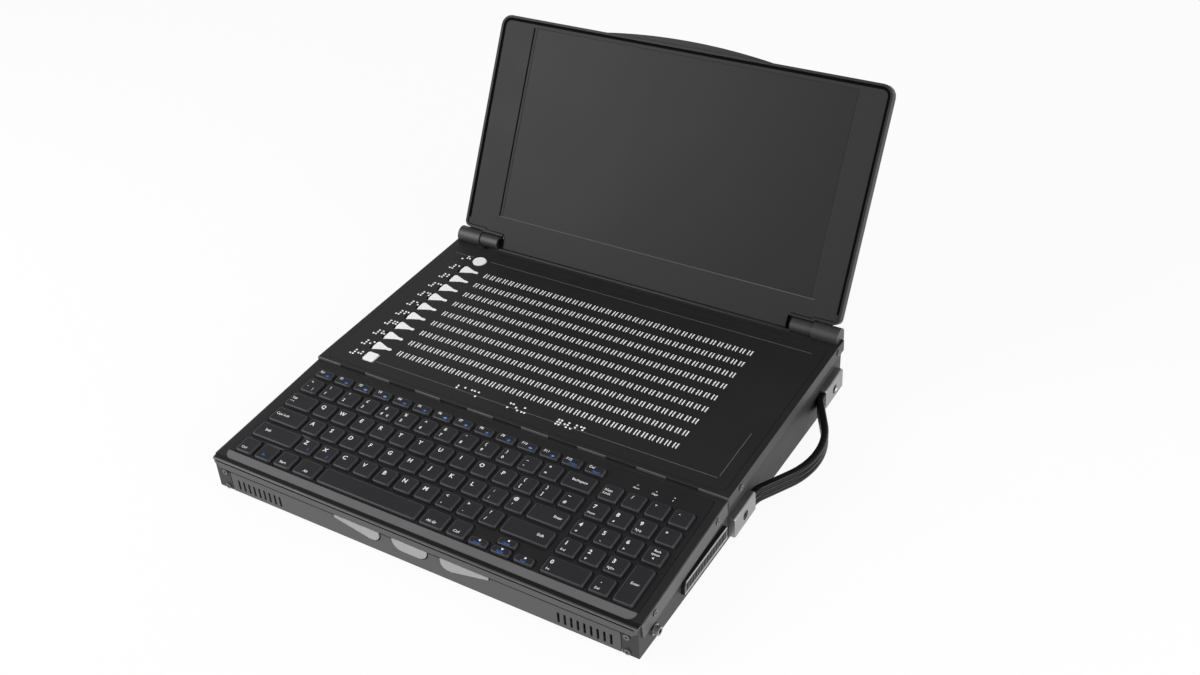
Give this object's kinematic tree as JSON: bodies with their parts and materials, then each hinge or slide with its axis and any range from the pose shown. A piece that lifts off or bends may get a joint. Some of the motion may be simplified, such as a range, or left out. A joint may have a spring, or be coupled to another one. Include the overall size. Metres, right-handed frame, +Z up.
{
  "type": "braille display",
  "caption": "Desktop multi-line braille display: rows of turning dot wheels behind a slotted plate, a compact keyboard, front thumb keys, a fold-up screen and a side carrying handle.",
  "frame": {"origin": "middle of the bounding box's foot with the lid open, on the surface that the feet stand on", "axes": "+X to the right seen from the user, +Y to the rear, +Z up"},
  "size_m": [0.3824, 0.407, 0.2222],
  "materials": {
    "black_sheet": "fine powder coat",
    "plate_film": "matt",
    "key_frame": "fine grain",
    "key_plastic": "satin",
    "lid_plastic": "satin",
    "bezel_plastic": "satin",
    "screen_glass": "anti-glare film",
    "hinge_metal": "satin paint",
    "steel": "plain",
    "bracket_metal": "satin",
    "rubber": "matt",
    "grille_plastic": "matt",
    "board": "lacquered board",
    "wheel_plastic": "smooth",
    "button_plastic": "smooth",
    "thumb_plastic": "smooth"
  },
  "bodies": {
    "case": {"base_pan": "black_sheet", "left_side_panel": "black_sheet", "right_side_panel": "black_sheet", "front_panel": "black_sheet", "rear_panel": "black_sheet", "display_deck": "black_sheet", "braille_plate": "plate_film", "keyboard_deck": "black_sheet", "keyboard_tray": "key_frame", "rubber_feet": "rubber", "case_screws": "steel", "handle_brackets": "bracket_metal", "handle_strap": "rubber", "handle_screws": "steel", "speaker_grille": "grille_plastic", "speaker": "grille_plastic", "headphone_socket": "steel", "power_socket": "grille_plastic", "hinge_knuckles": "hinge_metal", "hinge_pins": "steel", "rotor_frame_left": "bracket_metal", "rotor_frame_right": "bracket_metal", "line_motors": "bracket_metal", "button_board": "board", "main_board": "board"},
    "lid": {"lid_shell": "lid_plastic", "lid_bezel": "bezel_plastic", "screen_panel": "screen_glass", "hinge_barrels": "hinge_metal"},
    "line_1": {"rotor_line_1": "wheel_plastic"},
    "line_2": {"rotor_line_2": "wheel_plastic"},
    "line_3": {"rotor_line_3": "wheel_plastic"},
    "line_4": {"rotor_line_4": "wheel_plastic"},
    "line_5": {"rotor_line_5": "wheel_plastic"},
    "line_6": {"rotor_line_6": "wheel_plastic"},
    "line_7": {"rotor_line_7": "wheel_plastic"},
    "line_8": {"rotor_line_8": "wheel_plastic"},
    "line_9": {"rotor_line_9": "wheel_plastic"},
    "round_button_body": {"round_button": "button_plastic"},
    "line_button_1_body": {"line_button_1": "button_plastic"},
    "line_button_2_body": {"line_button_2": "button_plastic"},
    "line_button_3_body": {"line_button_3": "button_plastic"},
    "line_button_4_body": {"line_button_4": "button_plastic"},
    "line_button_5_body": {"line_button_5": "button_plastic"},
    "line_button_6_body": {"line_button_6": "button_plastic"},
    "line_button_7_body": {"line_button_7": "button_plastic"},
    "line_button_8_body": {"line_button_8": "button_plastic"},
    "line_button_9_body": {"line_button_9": "button_plastic"},
    "square_button_body": {"square_button": "button_plastic"},
    "function_keys_body": {"function_keys": "key_plastic"},
    "number_keys_body": {"number_keys": "key_plastic"},
    "upper_keys_body": {"upper_keys": "key_plastic"},
    "home_keys_body": {"home_keys": "key_plastic"},
    "lower_keys_body": {"lower_keys": "key_plastic"},
    "control_keys_body": {"control_keys": "key_plastic"},
    "numpad_keys_body": {"numpad_keys": "key_plastic"},
    "thumb_key_left_body": {"thumb_key_left": "thumb_plastic"},
    "thumb_key_middle_body": {"thumb_key_middle": "thumb_plastic"},
    "thumb_key_right_body": {"thumb_key_right": "thumb_plastic"}
  },
  "joints": [
    {"name": "lid_hinge", "type": "hinge", "parent": "case", "child": "lid", "pos_m": [0, 0.10801, 0.05105], "axis": [1, 0, 0], "range_deg": [0, 120]},
    {"name": "line_1_turn", "type": "hinge", "parent": "case", "child": "line_1", "pos_m": [0, 0.06596, 0.03993], "axis": [1, 0, 0], "continuous": true},
    {"name": "line_2_turn", "type": "hinge", "parent": "case", "child": "line_2", "pos_m": [0, 0.05128, 0.03942], "axis": [1, 0, 0], "continuous": true},
    {"name": "line_3_turn", "type": "hinge", "parent": "case", "child": "line_3", "pos_m": [0, 0.0366, 0.03891], "axis": [1, 0, 0], "continuous": true},
    {"name": "line_4_turn", "type": "hinge", "parent": "case", "child": "line_4", "pos_m": [0, 0.02192, 0.03839], "axis": [1, 0, 0], "continuous": true},
    {"name": "line_5_turn", "type": "hinge", "parent": "case", "child": "line_5", "pos_m": [0, 0.00724, 0.03788], "axis": [1, 0, 0], "continuous": true},
    {"name": "line_6_turn", "type": "hinge", "parent": "case", "child": "line_6", "pos_m": [0, -0.00743, 0.03737], "axis": [1, 0, 0], "continuous": true},
    {"name": "line_7_turn", "type": "hinge", "parent": "case", "child": "line_7", "pos_m": [0, -0.02211, 0.03685], "axis": [1, 0, 0], "continuous": true},
    {"name": "line_8_turn", "type": "hinge", "parent": "case", "child": "line_8", "pos_m": [0, -0.03679, 0.03634], "axis": [1, 0, 0], "continuous": true},
    {"name": "line_9_turn", "type": "hinge", "parent": "case", "child": "line_9", "pos_m": [0, -0.05147, 0.03583], "axis": [1, 0, 0], "continuous": true},
    {"name": "round_button_press", "type": "slide", "parent": "case", "child": "round_button_body", "axis": [0, 0.0349, -0.9994], "range_m": [0, 0.0008], "stiffness_N_per_m": 60, "springref_m": -0.002},
    {"name": "line_button_1_press", "type": "slide", "parent": "case", "child": "line_button_1_body", "axis": [0, 0.0349, -0.9994], "range_m": [0, 0.0008], "stiffness_N_per_m": 60, "springref_m": -0.002},
    {"name": "line_button_2_press", "type": "slide", "parent": "case", "child": "line_button_2_body", "axis": [0, 0.0349, -0.9994], "range_m": [0, 0.0008], "stiffness_N_per_m": 60, "springref_m": -0.002},
    {"name": "line_button_3_press", "type": "slide", "parent": "case", "child": "line_button_3_body", "axis": [0, 0.0349, -0.9994], "range_m": [0, 0.0008], "stiffness_N_per_m": 60, "springref_m": -0.002},
    {"name": "line_button_4_press", "type": "slide", "parent": "case", "child": "line_button_4_body", "axis": [0, 0.0349, -0.9994], "range_m": [0, 0.0008], "stiffness_N_per_m": 60, "springref_m": -0.002},
    {"name": "line_button_5_press", "type": "slide", "parent": "case", "child": "line_button_5_body", "axis": [0, 0.0349, -0.9994], "range_m": [0, 0.0008], "stiffness_N_per_m": 60, "springref_m": -0.002},
    {"name": "line_button_6_press", "type": "slide", "parent": "case", "child": "line_button_6_body", "axis": [0, 0.0349, -0.9994], "range_m": [0, 0.0008], "stiffness_N_per_m": 60, "springref_m": -0.002},
    {"name": "line_button_7_press", "type": "slide", "parent": "case", "child": "line_button_7_body", "axis": [0, 0.0349, -0.9994], "range_m": [0, 0.0008], "stiffness_N_per_m": 60, "springref_m": -0.002},
    {"name": "line_button_8_press", "type": "slide", "parent": "case", "child": "line_button_8_body", "axis": [0, 0.0349, -0.9994], "range_m": [0, 0.0008], "stiffness_N_per_m": 60, "springref_m": -0.002},
    {"name": "line_button_9_press", "type": "slide", "parent": "case", "child": "line_button_9_body", "axis": [0, 0.0349, -0.9994], "range_m": [0, 0.0008], "stiffness_N_per_m": 60, "springref_m": -0.002},
    {"name": "square_button_press", "type": "slide", "parent": "case", "child": "square_button_body", "axis": [0, 0.0349, -0.9994], "range_m": [0, 0.0008], "stiffness_N_per_m": 60, "springref_m": -0.002},
    {"name": "function_keys_press", "type": "slide", "parent": "case", "child": "function_keys_body", "axis": [0, 0.0819, -0.9966], "range_m": [0, 0.0018], "stiffness_N_per_m": 300, "springref_m": -0.003},
    {"name": "number_keys_press", "type": "slide", "parent": "case", "child": "number_keys_body", "axis": [0, 0.0819, -0.9966], "range_m": [0, 0.0018], "stiffness_N_per_m": 300, "springref_m": -0.003},
    {"name": "upper_keys_press", "type": "slide", "parent": "case", "child": "upper_keys_body", "axis": [0, 0.0819, -0.9966], "range_m": [0, 0.0018], "stiffness_N_per_m": 300, "springref_m": -0.003},
    {"name": "home_keys_press", "type": "slide", "parent": "case", "child": "home_keys_body", "axis": [0, 0.0819, -0.9966], "range_m": [0, 0.0018], "stiffness_N_per_m": 300, "springref_m": -0.003},
    {"name": "lower_keys_press", "type": "slide", "parent": "case", "child": "lower_keys_body", "axis": [0, 0.0819, -0.9966], "range_m": [0, 0.0018], "stiffness_N_per_m": 300, "springref_m": -0.003},
    {"name": "control_keys_press", "type": "slide", "parent": "case", "child": "control_keys_body", "axis": [0, 0.0819, -0.9966], "range_m": [0, 0.0018], "stiffness_N_per_m": 300, "springref_m": -0.003},
    {"name": "numpad_keys_press", "type": "slide", "parent": "case", "child": "numpad_keys_body", "axis": [0, 0.0819, -0.9966], "range_m": [0, 0.0018], "stiffness_N_per_m": 300, "springref_m": -0.003},
    {"name": "thumb_key_left_press", "type": "slide", "parent": "case", "child": "thumb_key_left_body", "axis": [0, 1, 0], "range_m": [0, 0.0015], "stiffness_N_per_m": 300, "springref_m": -0.0015},
    {"name": "thumb_key_middle_press", "type": "slide", "parent": "case", "child": "thumb_key_middle_body", "axis": [0, 1, 0], "range_m": [0, 0.0015], "stiffness_N_per_m": 300, "springref_m": -0.0015},
    {"name": "thumb_key_right_press", "type": "slide", "parent": "case", "child": "thumb_key_right_body", "axis": [0, 1, 0], "range_m": [0, 0.0015], "stiffness_N_per_m": 300, "springref_m": -0.0015}
  ]
}
